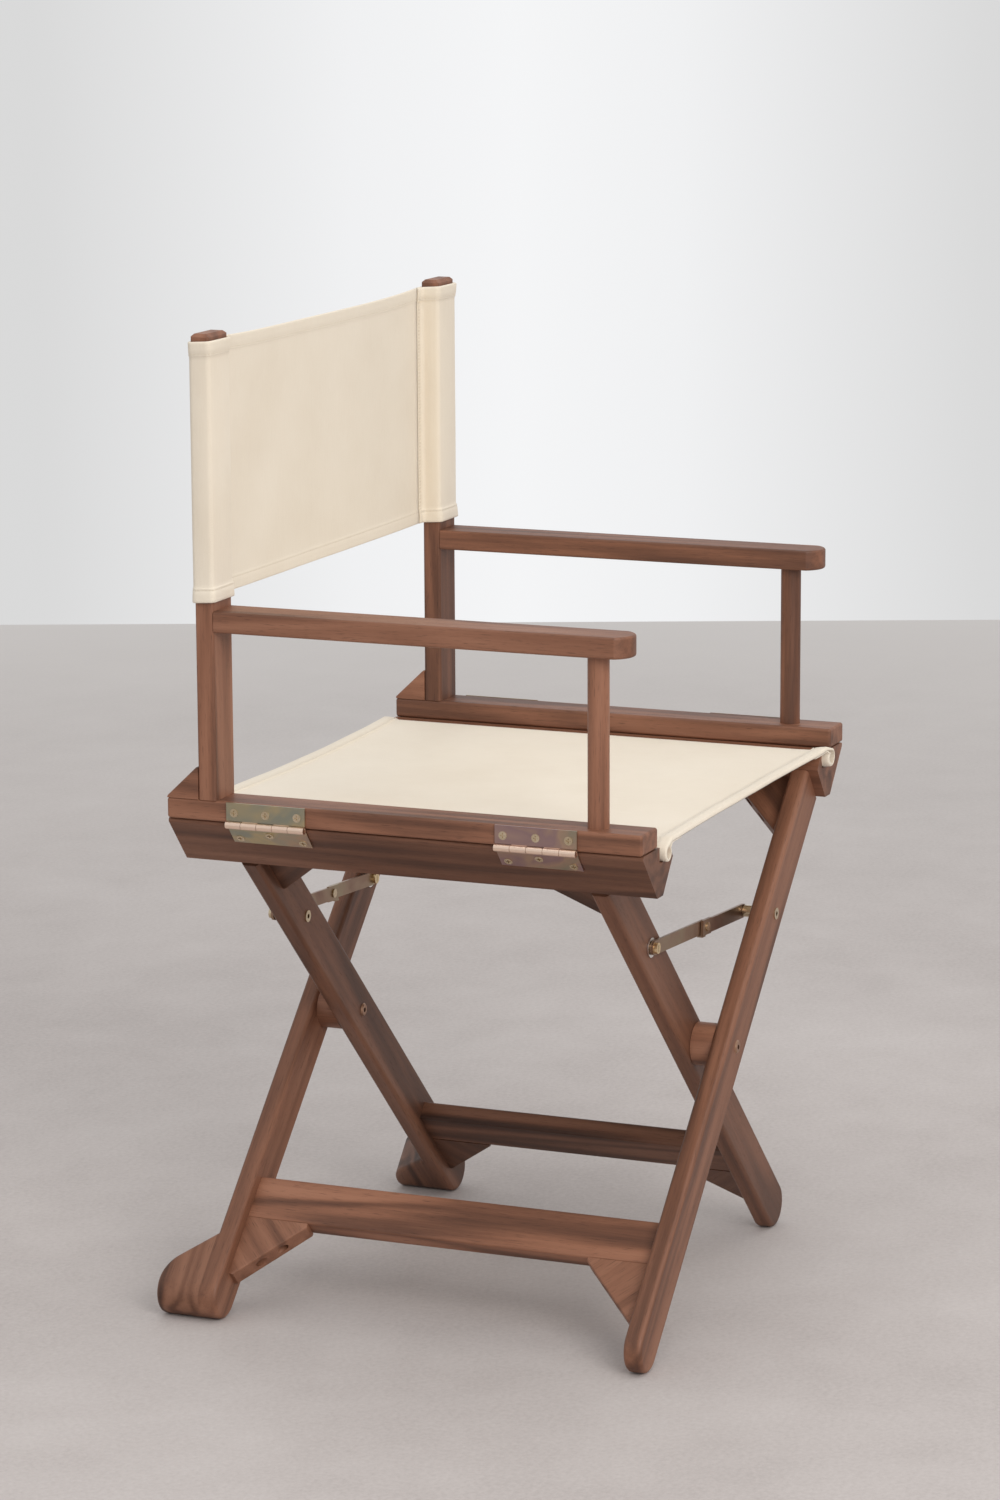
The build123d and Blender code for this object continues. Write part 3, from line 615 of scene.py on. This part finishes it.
def panel_line(row):
    """One line across the back, from under one sleeve's tail to under the other's."""
    thick = hem_thickness(row, back_low.z, back_high.z, back_hem)
    drop = drop_low + (drop_high - drop_low) * (row - back_low.z) / back_height
    points = []
    for k in range(panel_steps + 1):
        x = panel_end * (1 - 2 * k / panel_steps)
        share = x / panel_end
        ripple = panel_ripple * noise.noise(Vector((x * 9, 2.0, row * 12))) * (1 - share ** 8)
        points.append((x, panel_y + panel_bow * (1 - share ** 2) + ripple, row - drop * (1 - share ** 4)))
    return points, thick


panel = cloth("back_panel", canvas_up, back_rows, panel_line, DOWN)
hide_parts("back_canvas")
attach(panel, "left_arm")
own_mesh(panel)
seams = []
for row in back_seam_rows:
    middle, thick = panel_line(row)
    for out in (Vector((0, -1, 0)), Vector((0, 1, 0))):
        seams.append([(Vector(p) + out * thick / 2, out) for p in middle])
panel_threads = sewn("back_stitches", seams)
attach(panel_threads, "left_arm")
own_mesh(panel_threads)


# ---- Floor, light and camera ----
# A pale cast floor that ends well behind the chair, painted lighter towards its far edge
# as painted light, a white room round it, and large soft lamps overhead and to the front.
# The viewer stands before the right arm, above the chair, and looks down along its diagonal.
rail_low, rail_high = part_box("left_base_rail")
gaze = Vector((0.9049, 0.3735, -0.2041)).normalized()
eye = Vector((-3.8995, -1.5917 + (rail_low.y + rail_high.y) / 2, 1.3471))
flat_gaze = Vector((gaze.x, gaze.y, 0)).normalized()
side_way = Vector((flat_gaze.y, -flat_gaze.x, 0))
far_edge, near_edge, floor_reach, painted_light_from = 7.82, -6, 9.0, 4.6
corners = [eye + flat_gaze * f + side_way * s for f, s in
           ((far_edge, floor_reach), (far_edge, -floor_reach), (near_edge, -floor_reach),
            (near_edge, floor_reach))]
concrete, start = new_material("cast_floor")
place = start.place()
clouds = place.noise(5.0, 0.6, 0.4, scale=1.7) * 0.6 + place.noise(6.0, 0.65, 0.2, scale=9.0) * 0.4
grit = place.noise(3.0, 0.75, scale=190.0)
colour = (clouds * 0.62 + grit * 0.38).ramp((0.34, (0.430, 0.388, 0.374)), (0.5, (0.520, 0.476, 0.460)),
                                         (0.66, (0.590, 0.548, 0.532)))
# The floor is painted lighter towards its far edge: painted light where it runs into the bright backdrop.
back = (place.dot(flat_gaze) - eye.dot(flat_gaze)).between(painted_light_from, far_edge)
colour = colour.blend_to((0.72, 0.69, 0.67), back * back * 0.9)
finish_of(colour, 0.62 + clouds * 0.2, grit, 0.0003, 0.25)
floor = smooth_piece("floor", [(c.x, c.y, 0) for c in corners], [(0, 1, 2, 3)], concrete)

world = bpy.data.worlds.new("white_room")
bpy.context.scene.world = world
world.use_nodes = True
start = Shade(world.node_tree)
off_middle = start.node("TexCoord", out="Generated").dot(side_way) - 0.004
glow = start.maths("ABSOLUTE", off_middle).ramp((0.0, (0.96, 0.965, 0.975)), (0.035, (0.92, 0.925, 0.935)),
                                                (0.10, (0.735, 0.735, 0.735)))
world.node_tree.links.new(glow.socket, world.node_tree.nodes["Background"].inputs["Color"])
world.node_tree.nodes["Background"].inputs["Strength"].default_value = 0.95


def lamp(name, place, target, size, power, colour):
    """A round soft lamp that faces a target."""
    made = bpy.data.lights.new(name, "AREA")
    made.shape, made.size, made.energy, made.color = "DISK", size, power, colour
    hung = bpy.data.objects.new(name, made)
    hung.location = place
    hung.rotation_euler = (Vector(target) - Vector(place)).to_track_quat("-Z", "Y").to_euler()
    bpy.context.scene.collection.objects.link(hung)


lamp("overhead", (-0.2, -0.2, 3.3), (0, 0, 0.4), size=2.6, power=20, colour=(1, 0.98, 0.95))
lamp("front_left", (-2.6, -2.9, 2.4), (0, 0, 0.5), size=2.2, power=74, colour=(1, 0.97, 0.94))

lens = bpy.data.cameras.new("camera")
lens.sensor_fit, lens.sensor_width, lens.lens, lens.shift_y = "AUTO", 36.0, 111.94, 0.0236
lens.clip_end = 60
camera = bpy.data.objects.new("camera", lens)
bpy.context.scene.collection.objects.link(camera)
tilt = Matrix.Rotation(radians(0.29), 4, gaze)
camera.location = eye
camera.rotation_euler = (tilt @ gaze.to_track_quat("-Z", "Y").to_matrix().to_4x4()).to_euler()
bpy.context.scene.camera = camera
bpy.context.scene.view_settings.view_transform = "Standard"


# ---- End ----
import json
